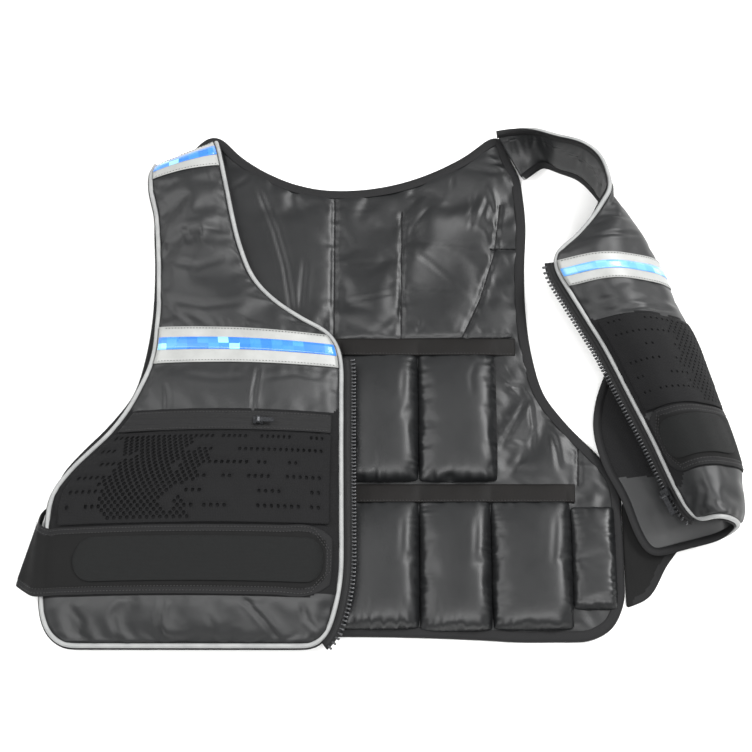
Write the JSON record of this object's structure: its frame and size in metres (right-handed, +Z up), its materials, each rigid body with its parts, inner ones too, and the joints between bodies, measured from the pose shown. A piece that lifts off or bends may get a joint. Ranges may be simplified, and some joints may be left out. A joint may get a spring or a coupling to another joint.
{
  "type": "weighted vest",
  "caption": "Padded weighted vest lying open, lining up, with weight pockets, one front folded over the back and the other rolled, zip edges, piping, reflective tape and waist straps.",
  "frame": {"origin": "under the middle of the vest's box, on the surface that it lies on", "axes": "+X towards the rolled left front, +Y towards the shoulders, +Z up"},
  "size_m": [0.6652, 0.5182, 0.0686],
  "materials": {
    "satin": "black nylon satin, padded, softly wrinkled",
    "lining": "black polyester lining satin, shiny",
    "binding": "black woven binding and elastic",
    "piping": "light grey reflective piping",
    "tape": "light grey reflective tape",
    "stripe": "glossy blue reflective film",
    "mesh": "black perforated knit mesh",
    "strap": "matt black brushed loop fabric",
    "hook_pad": "matt black hook and loop pad with stitched edge",
    "zip": "black woven zip tape",
    "teeth": "black moulded zip teeth",
    "metal": "black lacquered die-cast metal"
  },
  "bodies": {
    "vest": {"back_panel": "lining", "back_edge_binding": "binding", "lower_pocket_band": "binding", "upper_pocket_band": "binding", "right_front_panel": "satin", "left_front_panel": "satin", "right_piping": "piping", "left_piping": "piping", "right_zip_tape": "zip", "left_zip_tape": "zip", "right_zip_chain": "teeth", "left_zip_chain": "teeth", "right_chest_tape": "tape", "right_shoulder_tape": "tape", "left_chest_tape": "tape", "right_chest_tape_stripe": "stripe", "right_shoulder_tape_stripe": "stripe", "left_chest_tape_stripe": "stripe", "right_mesh_pocket": "mesh", "left_mesh_pocket": "mesh", "right_pocket_zip": "zip", "right_strap": "strap", "left_strap": "strap", "right_strap_pad": "hook_pad", "left_strap_pad": "hook_pad", "main_zip_slider": "metal", "pocket_zip_slider": "metal", "right_lower_pocket_1": "lining", "right_lower_pocket_2": "lining", "right_lower_pocket_3": "lining", "right_lower_pocket_side": "lining", "right_upper_pocket_1": "lining", "right_upper_pocket_2": "lining", "left_lower_pocket_1": "lining", "left_lower_pocket_2": "lining", "left_lower_pocket_3": "lining", "left_lower_pocket_side": "lining", "left_upper_pocket_1": "lining", "left_upper_pocket_2": "lining"},
    "main_pull": {"main_zip_pull": "metal"},
    "pocket_pull": {"pocket_zip_pull": "metal"}
  },
  "joints": [
    {"name": "main_pull_hinge", "type": "hinge", "parent": "vest", "child": "main_pull", "pos_m": [0.25706, -0.1245, 0.03585], "axis": [-0.6052, -0.2594, -0.7527], "range_deg": [0, 120]},
    {"name": "pocket_pull_hinge", "type": "hinge", "parent": "vest", "child": "pocket_pull", "pos_m": [-0.11207, -0.05429, 0.04462], "axis": [-0.0087, -1, -0.0007], "range_deg": [0, 130]}
  ]
}
